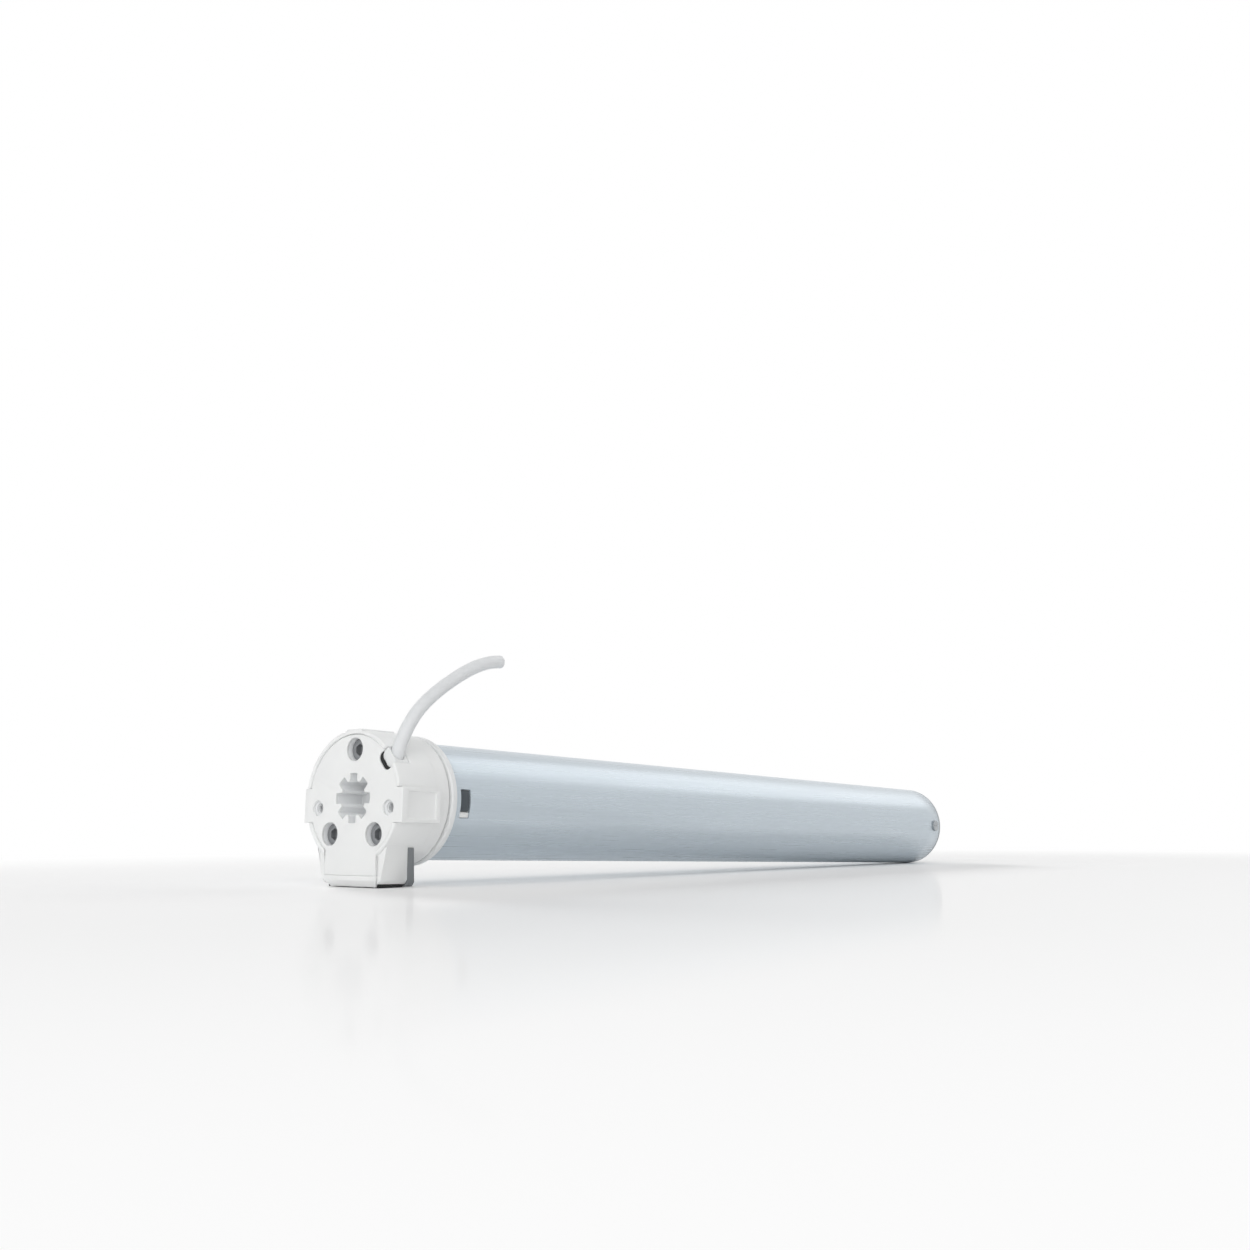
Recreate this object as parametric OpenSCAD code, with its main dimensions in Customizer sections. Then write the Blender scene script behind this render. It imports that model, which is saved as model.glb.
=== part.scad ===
// Tubular motor for a roller blind: white head, steel tube, three planetary stages inside.
// Millimetres. X runs from the head's face (x = 0) to the output shaft, Z is up, and the
// origin is the star socket's centre on the face. The cable and its notch are on the -Y side.

/* [Tube and length] */
// Outside diameter of the steel tube
tube_od = 57; // [54:0.5:60]
// Wall of the steel tube
tube_wall = 1.2; // [0.8:0.1:1.6]
// Head face to the far face of the drive end cap
motor_length = 581.7; // [575:0.1:640]
// Width along the tube of a latch window
window_len = 6.6; // [5:0.1:8]
// Height of a latch in its window
window_h = 11; // [7:0.1:12]
// Height of the torque key below a latch
key_h = 2.8; // [2:0.1:4]
// Tube's end to the near edge of a latch window
window_inset = 5; // [4:0.1:8]

/* [Head] */
// Radius of the head's outer rim
head_r = 32; // [31.5:0.1:34]
// Radius of the front cover
face_r = 30; // [29.8:0.1:31]
// Thickness of the front cover
cover_t = 1.6; // [1.2:0.1:2.4]
// How far the rim's lip stands before the face
rim_lip = 0.7; // [0.4:0.1:1.2]
// Length of the thick front part of the head
rim_len = 24; // [22:0.5:26]
// How far the collar behind the rim is set in
collar_step = 0.5; // [0.3:0.1:1]
// Face to the shoulder that the crown ring runs against
head_len = 34; // [33:0.1:38]
// Width of the shadow groove before the crown ring
groove_len = 1.5; // [1:0.1:2.5]
// Length of the spigot inside the tube
spigot_len = 26; // [20:0.5:32]
// Wall of the spigot
spigot_wall = 3.2; // [2.6:0.1:4]
// Half width of the head across its two cheeks
cheek_half = 33.4; // [33:0.1:36]
// Top of a cheek above the axis
cheek_top = 4.8; // [3:0.1:7]
// Bottom of a cheek below the axis
cheek_bottom = 11.4; // [9:0.1:13]
// How far a cheek reaches behind the face
cheek_len = 24.7; // [22:0.1:27]
// Depth of the sunk panel in a cheek
cheek_panel = 0.6; // [0.3:0.1:0.8]
// Width of the rib on top of the head
rib_w = 10.6; // [8:0.1:14]
// Height of the rib above the rim
rib_h = 0.3; // [0.2:0.1:1]
// Length of the rib behind the face
rib_len = 20; // [16:0.5:22]

/* [Star socket and screws] */
// Radius over the tips of the star's teeth
star_tip_r = 11.7; // [10:0.1:12.5]
// Radius of the star's round core
star_core_r = 8.4; // [7.5:0.1:9]
// Width of a star tooth
star_tooth_w = 5; // [4:0.1:5.4]
// Depth of the star socket behind the cover
star_depth = 15; // [10:0.5:16]
// Distance between the two bracket holes
bracket_pitch = 48; // [46:0.5:49]
// Bracket holes below the axis
bracket_drop = 4.5; // [2:0.1:5]
// Bore of a bracket hole, the tap size of a 6 mm thread
bracket_d = 5; // [4:0.1:5.5]
// Depth of a bracket hole behind the cover
bracket_depth = 11; // [9:0.5:12]
// Opening in the cover around a bracket hole
bracket_window = 7.2; // [6:0.1:8]
// Height of the upper head screw above the axis
screw_top_z = 22.8; // [22:0.1:23]
// Lower head screws, sideways from the axis
screw_low_y = 15; // [14:0.1:16]
// Lower head screws below the axis
screw_low_z = 16.7; // [16:0.1:18]
// Diameter of a screw well
well_d = 11; // [10.6:0.1:11.4]
// Diameter of a socket screw's head
screw_head_d = 10; // [9:0.1:10.2]
// Height of a socket screw's head
screw_head_h = 6; // [4:0.1:6.5]
// Thread diameter of a head screw
screw_d = 6; // [5:0.1:6]
// Hexagon key size across flats
screw_key = 5; // [4:0.1:5.5]

/* [Foot] */
// Half width of the foot's front
foot_half = 17.5; // [16:0.1:18.5]
// Half width of the foot's body where it leaves the rim
foot_body_top = 23.6; // [22:0.1:24.5]
// Half width of the foot's body at its bottom
foot_body_low = 20; // [19:0.1:21.5]
// Bottom of the foot below the axis
foot_drop = 40.8; // [40:0.1:44]
// Seam between the cover and the foot cap below the axis
foot_seam = 35.6; // [34:0.1:36.5]
// Start of the foot cap's bevel below the axis
foot_bevel = 37.9; // [37.4:0.1:39]
// Step from the face back to the foot's sides
foot_step = 0.9; // [0.5:0.1:1.1]
// Depth of the foot's white part behind the face, where it leaves the rim
foot_len = 13.6; // [12:0.1:16]
// Lean of the foot's back in degrees: it runs backwards on its way down
foot_lean = 15; // [10:1:17]
// Thickness of the grey plate behind the foot
back_plate_t = 4.6; // [3:0.1:5.5]
// Depth of the foot cap's front lip behind the face
cap_lip = 3; // [2.4:0.1:5]
// Half width of the pad that the foot stands on
cap_pad = 13; // [10:0.5:16]
// Foot screws, sideways from the axis
foot_screw_y = 11; // [9:0.5:13]
// Length of a foot screw in the foot
foot_screw_len = 4.5; // [3:0.5:5]

/* [Cable] */
// Outside diameter of the cable
cable_d = 6.5; // [5:0.1:6.6]
// Angle of the cable notch above the horizontal
notch_angle = 38.7; // [35:0.1:42]
// Width of the cable notch
notch_w = 9.5; // [9.3:0.1:10.5]
// Inner end of the cable notch from the axis
notch_r = 24.2; // [23.5:0.1:24.6]
// Depth of the cable notch behind the face
notch_len = 9.6; // [9.4:0.1:11]
// Gap left between the notch's inner end and the plug
plug_gap = 1.7; // [1:0.1:2]
// How far the plug is set back behind the face
plug_step = 1; // [0.6:0.1:1.4]

/* [Crown ring] */
// Width of the running ring
crown_w = 3.8; // [3:0.1:5]
// Height of the running ring above the tube
crown_h = 3; // [2.5:0.1:3.2]
// Width of the drive notch in the ring
crown_notch_w = 4; // [3:0.1:6]
// Depth of the drive notch in the ring
crown_notch_h = 1.6; // [1:0.1:2]

/* [Electronics] */
// Free space between the control board and the capacitor
can_gap = 14; // [10:1:30]
// Width of the control board
board_w = 42; // [38:0.5:43]
// Thickness of a circuit board
board_t = 1.6; // [1:0.1:2]
// Underside of the control board below the axis
board_drop = 6; // [5:0.1:8]
// Diameter of the run capacitor
cap_can_d = 34; // [28:0.5:36]
// Length of the run capacitor
cap_can_len = 62; // [50:1:70]
// Height of a relay above the board
relay_h = 15; // [12:0.5:17]
// Wall of the trough that carries board and capacitor
trough_wall = 1.8; // [1.4:0.1:2.4]

/* [Motor] */
// Length of the stator stack
stack_len = 90; // [80:1:94]
// Bore of the stator
stator_bore = 27.5; // [26:0.1:29]
// Number of stator slots
slots = 12; // [12, 18]
// Width of a stator slot
slot_w = 4; // [3:0.1:4.2]
// Length of the windings beyond each end of the stack
winding_len = 12; // [10:0.5:13]
// Thickness of a bearing shield
shield_t = 12; // [10.5:0.5:13]
// Diameter of the rotor shaft
rotor_shaft_d = 8; // [8:0.5:9]
// Outside diameter of a ball bearing
bearing_od = 22; // [20:0.5:24]
// Width of a ball bearing
bearing_w = 7; // [6:0.1:8]

/* [Brake] */
// Radius of the brake disc
disc_r = 20; // [17:0.5:21]
// Thickness of the brake disc
disc_t = 3; // [2:0.1:4]
// Thickness of the sliding armature
armature_t = 4; // [3:0.1:5]
// Free travel of the armature towards the magnet
brake_travel = 0.6; // [0.4:0.05:0.8]
// Length of the brake magnet
magnet_len = 15; // [12:0.5:17]

/* [Gear train] */
// Teeth of each sun gear
sun_teeth = 12; // [12]
// Teeth of each planet gear
planet_teeth = 18; // [18]
// Wall of the ring gear behind its teeth
ring_wall = 2.2; // [1.8:0.1:3]
// Width of the first stage's planets
planet_w1 = 12; // [10:0.5:13]
// Width of the second stage's planets
planet_w2 = 15; // [12:0.5:16]
// Width of the third stage's planets
planet_w3 = 19; // [15:0.5:20]
// Thickness of the first carrier
carrier_t1 = 4; // [3:0.1:5]
// Thickness of the second carrier
carrier_t2 = 5; // [4:0.1:6]
// Thickness of the output carrier
carrier_t3 = 8; // [6:0.1:9]
// Diameter of a planet pin
pin_d = 5.2; // [4:0.1:6]
// Thickness of the plate before the gears
gear_plate_t = 7; // [5:0.1:8]

/* [Drive end] */
// Thickness of the end cap's flange
flange_t = 3.5; // [3:0.1:5]
// Depth of the end cap inside the tube
cap_depth = 58; // [50:0.5:62]
// Wall of the end cap's skirt
cap_wall = 3; // [2.4:0.1:4]
// Diameter of the output shaft
shaft_d = 16; // [14:0.5:18]
// Length of the output shaft before the cap's face
shaft_out = 24; // [20:0.5:30]
// Depth of the flat on the output shaft
shaft_flat = 1.5; // [1:0.1:1.7]
// Bore of the shaft's threaded end hole
shaft_hole_d = 5; // [4:0.1:6]
// Radius of the boss around the output shaft
boss_r = 14; // [13.5:0.5:16]
// Height of the boss before the cap's face
boss_h = 3; // [2:0.1:4]
// Tube's end to the row of cap screws
cap_screw_inset = 8; // [6:0.5:12]
// Head diameter of a cap screw
cap_screw_head = 8; // [6:0.1:9]
// Length of a cap screw in the end cap
cap_screw_len = 8; // [6:0.5:10]

/* [Fits] */
// Radial running clearance of a shaft in its hole
run_fit = 0.05; // [0.02:0.01:0.1]
// Radial clearance of pieces that are pushed into the tube
tube_fit = 0.15; // [0.1:0.01:0.3]
// Clearance of pieces that are pressed or screwed together
set_fit = 0.05; // [0.02:0.01:0.1]
// Clearance around moulded pieces that drop into each other
drop_fit = 0.15; // [0.1:0.01:0.25]
// Axial clearance beside the running ring and other turning faces
side_gap = 0.3; // [0.2:0.05:0.5]
// Axial space between neighbouring gear pieces
gear_gap = 1.2; // [1.1:0.1:1.6]
// Air gap between rotor and stator
air_gap = 0.35; // [0.25:0.05:0.5]
// Thinning of each gear tooth at its pitch circle
tooth_play = 0.12; // [0.08:0.01:0.2]

/* [Hidden] */
$fn = 64;

// cut: how far a cutting shape runs past the face it opens
cut = 1;
// edge: the usual broken edge of a moulded piece
edge = 0.6;
white = [0.93, 0.93, 0.92];
zinc = [0.60, 0.61, 0.62];
steel = [0.72, 0.74, 0.76];
dark_steel = [0.33, 0.34, 0.36];
grey_plastic = [0.40, 0.41, 0.42];
copper = [0.72, 0.42, 0.22];
bronze = [0.69, 0.54, 0.30];
board_green = [0.12, 0.36, 0.24];
black = [0.10, 0.10, 0.11];

// Radii that follow from the tube
tube_r = tube_od / 2;
tube_ir = tube_r - tube_wall;
inner_r = tube_ir - tube_fit;
spigot_r = inner_r;
spigot_ir = spigot_r - spigot_wall;

// Head, from the face backwards
rim_front = -rim_lip;
collar_r = head_r - collar_step;
core_r = face_r - 0.4;
shell_ir = core_r + drop_fit;
cavity_r = core_r - 0.4;
core_plate_end = cover_t + 4.4;
screw_seat = cover_t + 1.6 + screw_head_h;
boss_end = screw_seat + 4;
bracket_boss_end = cover_t + bracket_depth + 2.4;
hub_r = star_tip_r + 3.3;
hub_end = cover_t + star_depth + 3;
wall_front = hub_end + 0.4;
wall_back = wall_front + 4;
screw_r = screw_d / 2;
well_r = well_d / 2;
post_r = well_r + 1.5;
screw_spots = [[0, screw_top_z], [screw_low_y, -screw_low_z], [-screw_low_y, -screw_low_z]];
foot_low = foot_drop - 1.5;
foot_top = sqrt(head_r * head_r - foot_body_top * foot_body_top);
foot_end = foot_len + (foot_low - foot_top) * tan(foot_lean);
foot_screw_z = (sqrt(head_r * head_r - foot_screw_y * foot_screw_y) + foot_low) / 2;
foot_screw_at = (foot_top - foot_screw_z - back_plate_t * sin(foot_lean)) / cos(foot_lean);
foot_screw_r = 1.5;
notch_turn = 180 - notch_angle;
plug_front = plug_step;
plug_end = notch_len - drop_fit;
plug_r = head_r - 0.4;

groove_x = head_len - groove_len;
neck_r = collar_r - 1.7;

// Crown ring and tube ends
crown_x = head_len + side_gap;
crown_r = tube_r + crown_h;
tube_x = crown_x + crown_w + side_gap;
tube_end = motor_length - flange_t;
spigot_end = tube_x + spigot_len;
window_x = tube_x + window_inset;
latch_top_r = tube_r - 0.5;

// Gear sizes: the module fills the tube, and all three stages share it
ring_teeth = sun_teeth + 2 * planet_teeth;
addendum = 0.9;
dedendum = 1.15;
pressure_angle = 25;
ring_or = inner_r;
gear_m = (ring_or - ring_wall) / (ring_teeth / 2 + dedendum);
orbit_r = gear_m * (sun_teeth + planet_teeth) / 2;
pin_r = pin_d / 2;
pin_head_r = pin_r + 1.3;
pin_head_t = gear_gap - 0.5;
carrier_r = orbit_r + pin_r + 3;
stub_r = 3;
planet_turns = [90, 210, 330];

// Pieces in the tube, from its far end backwards
cap_in = tube_end - cap_depth;
ring_end = cap_in - side_gap;
train_len = planet_w1 + planet_w2 + planet_w3 + carrier_t1 + carrier_t2 + carrier_t3 + 6 * gear_gap;
ring_x = ring_end - train_len - gear_gap;
stage_1 = ring_x + gear_gap;
plate_1 = stage_1 + planet_w1 + gear_gap;
stage_2 = plate_1 + carrier_t1 + gear_gap;
plate_2 = stage_2 + planet_w2 + gear_gap;
stage_3 = plate_2 + carrier_t2 + gear_gap;
plate_3 = stage_3 + planet_w3 + gear_gap;
gear_plate_x = ring_x - side_gap - gear_plate_t;
magnet_x = gear_plate_x - side_gap - magnet_len;
armature_x = magnet_x - brake_travel - 0.2 - armature_t;
disc_x = armature_x - 0.1 - disc_t;
rear_shield_x = disc_x - 2 - shield_t;
stack_x = rear_shield_x - 1 - winding_len - stack_len;
front_shield_x = stack_x - winding_len - 1 - shield_t;
trough_x = spigot_end + side_gap;
trough_end = front_shield_x - 8;

// Motor details
stator_r = inner_r;
bore_r = stator_bore / 2;
rotor_r = bore_r - air_gap;
rotor_len = stack_len - 4;
slot_in_r = bore_r + 2;
slot_out_r = stator_r - 4.5;
shaft_r = rotor_shaft_d / 2;
bearing_r = bearing_od / 2;
race_r = shaft_r + 2;
magnet_r = 8;
rotor_front = front_shield_x - 6;

// Electronics
trough_r = inner_r;
trough_ir = trough_r - trough_wall;
board_x = trough_x + 6;
board_top = -board_drop + board_t;
ledge_t = 2;
can_r = cap_can_d / 2;
can_x = trough_end - 10 - cap_can_len;
board_len = can_x - can_gap - board_x;

// Drive end
flange_round = 2;
out_r = shaft_d / 2;
bush_r = out_r + 3;
bush_len = 16;
bush_in_x = cap_in + 2;
bush_out_x = motor_length + boss_h - bush_len;
clip_x = motor_length + boss_h + side_gap;
clip_t = 1.2;
shaft_end = motor_length + shaft_out;
cap_screw_x = tube_end - cap_screw_inset;
cap_screw_r = 1.9;
cap_screw_turns = [60, 180, 300];

// Middle line of the cable from the plug to its cut end, x then y then z, chosen by eye
cable_line = [[5.1, -22.6, 16.9], [5.1, -24, 21.3], [5.9, -25.4, 26.5], [7.6, -26.4, 31.5],
  [10.1, -27.1, 36.3], [13.3, -27.5, 40.6], [17.1, -27.6, 44.4], [21.3, -27.5, 47.8],
  [25.7, -27.4, 51], [30.2, -27.2, 54], [34.8, -27.1, 56.8], [39.4, -27, 59.5], [44.2, -27, 62.1],
  [49.1, -27, 64.5], [54, -27.1, 66.6], [59.1, -27.2, 68.3], [64.4, -27.1, 69.6], [69.7, -27, 70.3]];
cable_sides = 12;

// Turns a shape onto the motor's axis: drawn x becomes Y, drawn y becomes Z, height becomes X.
module on_axis() rotate([90, 0, 90]) children();

// A round bar from x along the axis.
module bar(x, r, len) translate([0, 0, x]) cylinder(r = r, h = len);

// A round pipe from x along the axis.
module pipe(x, r, ir, len) difference() {
  bar(x, r, len);
  bar(x - cut, ir, len + 2 * cut);
}

// Stands a shape on the tube's skin: its height runs outwards at this angle and place.
module outwards(angle, x) rotate([0, 0, angle]) translate([0, 0, x]) rotate([0, 90, 0]) children();

// A turned piece: the outline's x is the radius, its y the place along the axis.
module turned(outline) rotate_extrude() polygon(outline);

// Points of a quarter round of radius r about a centre, from one angle to another.
function round_edge(centre, r, from, to, steps = 6) = [for (k = [0 : steps])
  let (a = from + (to - from) * k / steps) centre + r * [cos(a), sin(a)]];

// A box given by its low and high corners.
module block(low, high) translate(low) cube(high - low);

// Outline of the eight-toothed star.
module star() intersection() {
  circle(star_tip_r);
  union() {
    circle(star_core_r);
    for (a = [0 : 45 : 135]) rotate(a) square([2 * star_tip_r, star_tooth_w], center = true);
  }
}

// Outline of the cable notch, opening outwards along x; grow widens it on all sides.
module notch(inner_r, grow = 0) {
  half = notch_w / 2 + grow;
  round_r = 3 + grow;
  for (s = [-1, 1]) translate([inner_r + 3, s * (half - round_r)]) circle(round_r);
  translate([inner_r - grow, grow + round_r - half]) square([6, 2 * (half - round_r - grow)]);
  translate([inner_r + 3, -half]) square([head_r, 2 * half]);
}

// Outline of the tapered foot behind the cover, down to this depth.
module foot_shape(low, inset = 0) polygon([[inset - foot_body_top, -foot_top],
  [inset - foot_body_low, 2 - low], [inset - foot_body_low + 2, -low], [foot_body_low - 2 - inset, -low],
  [foot_body_low - inset, 2 - low], [foot_body_top - inset, -foot_top]]);

// Stands a shape on the foot's leaning back: its height runs backwards, its y up along the back.
module leaning() translate([0, -foot_top, foot_len]) rotate([-foot_lean, 0, 0]) children();

// White front cover with its two cheeks and the front of the foot.
module head_cover() color(white) on_axis() difference() {
  union() {
    turned([[0, 0], [face_r - edge, 0], [face_r, edge], [face_r, cover_t], [0, cover_t]]);
    block([-cheek_half, -cheek_bottom, 0], [cheek_half, cheek_top, cover_t]);
    block([-foot_half, -foot_seam, 0], [foot_half, -screw_low_z, cover_t]);
    difference() {
      block([-cheek_half, -cheek_bottom, 0], [cheek_half, cheek_top, cheek_len]);
      bar(-cut, head_r + drop_fit, cheek_len + 2 * cut);
    }
  }
  for (s = [-1, 1]) {
    translate([s * bracket_pitch / 2, -bracket_drop, -cut]) cylinder(d = bracket_window, h = 4);
    translate([s * cheek_half, 0, 0])
      block([-cheek_panel, 2 - cheek_bottom, 4], [cheek_panel, cheek_top - 2, cheek_len - 3]);
  }
  for (p = screw_spots) translate([p.x, p.y, -cut]) cylinder(r = well_r, h = 4);
  translate([0, 0, -cut]) linear_extrude(4) star();
  translate([0, 0, -cut]) rotate(notch_turn) linear_extrude(4) notch(notch_r);
}

// Zinc core: the star socket, the bracket threads and the wells of the head screws.
module head_core() color(zinc) on_axis() difference() {
  union() {
    bar(cover_t, core_r, core_plate_end - cover_t);
    intersection() {
      bar(cover_t, cavity_r - drop_fit, hub_end);
      union() {
        bar(cover_t, hub_r, hub_end - cover_t);
        for (p = screw_spots) translate([p.x, p.y, cover_t])
          cylinder(r = post_r, h = boss_end - cover_t);
        for (s = [-1, 1]) translate([s * bracket_pitch / 2, -bracket_drop, cover_t])
          cylinder(r = bracket_d / 2 + 2, h = bracket_boss_end - cover_t);
      }
    }
  }
  translate([0, 0, cover_t - cut]) linear_extrude(star_depth + cut) star();
  for (s = [-1, 1]) translate([s * bracket_pitch / 2, -bracket_drop, cover_t - cut])
    cylinder(d = bracket_d, h = bracket_depth + cut);
  for (p = screw_spots) translate([p.x, p.y, 0]) {
    cylinder(r = well_r, h = screw_seat);
    cylinder(r = screw_r + 0.3, h = boss_end + cut);
  }
  rotate(notch_turn) linear_extrude(core_plate_end + cut) notch(notch_r);
}

// White head body: shell, back wall, screw posts, foot, collar and the spigot in the tube.
module head_body() color(white) on_axis() difference() {
  union() {
    turned([[0, rim_front], [head_r - edge, rim_front], [head_r, rim_front + edge],
      [head_r, rim_len - edge], [collar_r, rim_len], [collar_r, groove_x - edge],
      [collar_r - edge, groove_x], [neck_r, groove_x], [neck_r, head_len], [spigot_r, head_len],
      [spigot_r, spigot_end - 2], [spigot_r - 0.8, spigot_end], [0, spigot_end]]);
    block([-rib_w / 2, head_r - 2, rim_front], [rib_w / 2, head_r + rib_h, rib_len]);
    intersection() {
      translate([0, 0, foot_step]) linear_extrude(rim_len) foot_shape(foot_low);
      leaning() block([-head_r, -head_r, -head_r], [head_r, head_r, 0]);
    }
    for (a = [0, 180]) intersection() {
      bar(tube_x, tube_r - 0.2, spigot_len);
      outwards(a, window_x + window_len / 2) block([0.3 - window_len / 2, window_h / 2 + 0.2, spigot_ir + 1],
        [window_len / 2 - 0.3, window_h / 2 + key_h - 0.3, tube_r + cut]);
    }
  }
  difference() {
    rotate(notch_turn) bar(core_plate_end, cavity_r, wall_front - core_plate_end);
    for (p = screw_spots) translate([p.x, p.y, boss_end]) cylinder(r = post_r, h = wall_front);
    rotate(notch_turn) block([notch_r - 4, -8, core_plate_end], [head_r, 8, wall_front]);
  }
  bar(0, shell_ir, core_plate_end + set_fit);
  bar(rim_front - cut, face_r + drop_fit, cover_t + rim_lip + cut);
  block([-foot_half - drop_fit, -foot_drop - cut, rim_front - cut], [foot_half + drop_fit, 0, cover_t]);
  block([-cheek_half, -cheek_bottom - drop_fit, rim_front - cut],
    [cheek_half, cheek_top + drop_fit, cover_t]);
  block([3 - foot_half, 2.5 - foot_low, 0], [foot_half - 3, -shell_ir + 2, foot_len - 3]);
  for (p = screw_spots) translate([p.x, p.y, 0]) cylinder(r = screw_r + set_fit, h = wall_back + cut);
  translate([0, 0, rim_front - cut]) rotate(notch_turn) linear_extrude(notch_len + rim_lip + cut)
    notch(notch_r);
  bar(wall_back, spigot_ir, spigot_end);
  translate([0, 0, wall_front - cut]) translate([0, -12, 0]) cylinder(r = 4, h = 10);
  for (a = [0, 180]) outwards(a, window_x + window_len / 2) block(
    [0.4 - window_len / 2, 0.4 - window_h / 2, spigot_ir - cut],
    [window_len / 2 - 0.4, window_h / 2 - 0.4, spigot_r + cut]);
  leaning() for (s = [-1, 1]) translate([s * foot_screw_y, foot_screw_at, -foot_screw_len - 0.8])
    cylinder(r = foot_screw_r, h = foot_screw_len + 0.8 + cut);
}

// White cap that clips under the foot: the bevelled front edge, and behind it a narrower pad.
module foot_cap() color(white) on_axis() difference() {
  intersection() {
    rotate([0, -90, 0]) translate([0, 0, -foot_half]) linear_extrude(2 * foot_half) polygon([
      [0, -foot_seam - set_fit], [0, -foot_bevel], [foot_drop - foot_bevel, -foot_drop],
      [foot_end - 0.3, -foot_drop], [foot_end - 0.3, -foot_low - set_fit],
      [cover_t, -foot_low - set_fit], [cover_t, -foot_seam - set_fit]]);
    linear_extrude(foot_end) polygon([[-foot_half, 0], [-foot_half, -foot_bevel],
      [2 - foot_half, -foot_drop], [foot_half - 2, -foot_drop], [foot_half, -foot_bevel],
      [foot_half, 0]]);
  }
  for (s = [-1, 1]) translate([s * (cap_pad + foot_half), 0, 0])
    block([-foot_half, -foot_drop - cut, cap_lip], [foot_half, 0, foot_end]);
}

// Grey plate that closes the foot from behind, down to just above the table.
module foot_back_plate() color(grey_plastic) on_axis() difference() {
  intersection() {
    linear_extrude(head_len) foot_shape(foot_drop - 0.3, 0.4);
    leaning() block([-head_r, -head_r, 0], [head_r, head_r, back_plate_t]);
  }
  bar(0, head_r + drop_fit, head_len);
  leaning() for (s = [-1, 1]) translate([s * foot_screw_y, foot_screw_at, -cut])
    cylinder(r = foot_screw_r, h = back_plate_t + 2 * cut);
}

// Two pan head screws in the back plate.
module foot_screws() color(dark_steel) on_axis() leaning() for (s = [-1, 1])
  translate([s * foot_screw_y, foot_screw_at, 0]) difference() {
    union() {
      translate([0, 0, -foot_screw_len])
        cylinder(r = foot_screw_r - set_fit, h = back_plate_t + foot_screw_len + cut);
      translate([0, 0, back_plate_t]) cylinder(r = 2.8, h = 1.8);
    }
    translate([-2.9, -0.35, back_plate_t + 0.9]) cube([5.8, 0.7, 2]);
  }

// Three socket head screws that hold the core to the body.
module head_screws() color(dark_steel) on_axis() for (p = screw_spots)
  translate([p.x, p.y, screw_seat]) difference() {
    union() {
      translate([0, 0, -screw_head_h]) cylinder(d = screw_head_d, h = screw_head_h);
      translate([0, 0, -cut]) cylinder(r = screw_r, h = wall_back - screw_seat + cut);
    }
    translate([0, 0, -screw_head_h - cut]) rotate(30)
      cylinder(d = screw_key / cos(30), h = screw_head_h / 2 + cut, $fn = 6);
  }

// White plug in the notch, bored for the cable.
module cable_plug() color(white) difference() {
  on_axis() intersection() {
    bar(plug_front, plug_r, plug_end - plug_front);
    rotate(notch_turn) linear_extrude(plug_end) notch(notch_r + plug_gap, -drop_fit);
  }
  translate(cable_line[0]) rotate([atan2(cable_line[0].y - cable_line[1].y,
    cable_line[1].z - cable_line[0].z), 0, 0]) cylinder(r = cable_d / 2 + drop_fit, h = head_r);
}

function unit(v) = v / norm(v);

// A soft cord along a line of points, as rings of straight sides. Its first side faces -Y.
module cord(p, d, sides) {
  n = len(p);
  rings = [for (i = [0 : n - 1]) let (
      t = unit(p[min(i + 1, n - 1)] - p[max(i - 1, 0)]),
      u = unit(cross(t, [0, 1, 0])), v = cross(t, u))
    each [for (k = [0 : sides - 1]) p[i] + d / 2 * (cos(k * 360 / sides) * u
      + sin(k * 360 / sides) * v)]];
  polyhedron(rings, [[for (k = [0 : sides - 1]) k],
    for (i = [0 : n - 2]) for (k = [0 : sides - 1]) let (m = (k + 1) % sides)
      [i * sides + m, i * sides + k, (i + 1) * sides + k, (i + 1) * sides + m],
    [for (k = [sides - 1 : -1 : 0]) (n - 1) * sides + k]]);
}

// Mains cable, from the plug to its plain cut end.
module cable() color(white) cord(cable_line, cable_d, cable_sides);

// White ring that turns with the blind's roller and is read by the electronics.
module crown_ring() color(white) on_axis() difference() {
  turned([[spigot_r + run_fit, crown_x], [crown_r - edge, crown_x], [crown_r, crown_x + edge],
    [crown_r, crown_x + crown_w - edge], [crown_r - edge, crown_x + crown_w],
    [spigot_r + run_fit, crown_x + crown_w]]);
  outwards(270, crown_x + crown_w) block([-2, -crown_notch_w / 2, crown_r - crown_notch_h],
    [2, crown_notch_w / 2, crown_r + cut]);
}

// Steel tube with its two latch windows and the holes of the cap screws.
module motor_tube() color(steel) on_axis() difference() {
  pipe(tube_x, tube_r, tube_ir, tube_end - tube_x);
  for (a = [0, 180]) outwards(a, window_x + window_len / 2) block(
    [-window_len / 2, -window_h / 2, tube_ir - 3], [window_len / 2, window_h / 2 + key_h, tube_r + cut]);
  for (a = cap_screw_turns) outwards(a, cap_screw_x) cylinder(r = 2.05, h = tube_r + cut);
}

// Two dark latches that lock the spigot in the tube's windows.
module tube_latches() color(dark_steel) on_axis() intersection() {
  pipe(tube_x, latch_top_r, spigot_ir, spigot_len);
  for (a = [0, 180]) outwards(a, window_x + window_len / 2) block(
    [0.5 - window_len / 2, 0.5 - window_h / 2, 0], [window_len / 2 - 0.5, window_h / 2 - 0.5, tube_r]);
}

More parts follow.
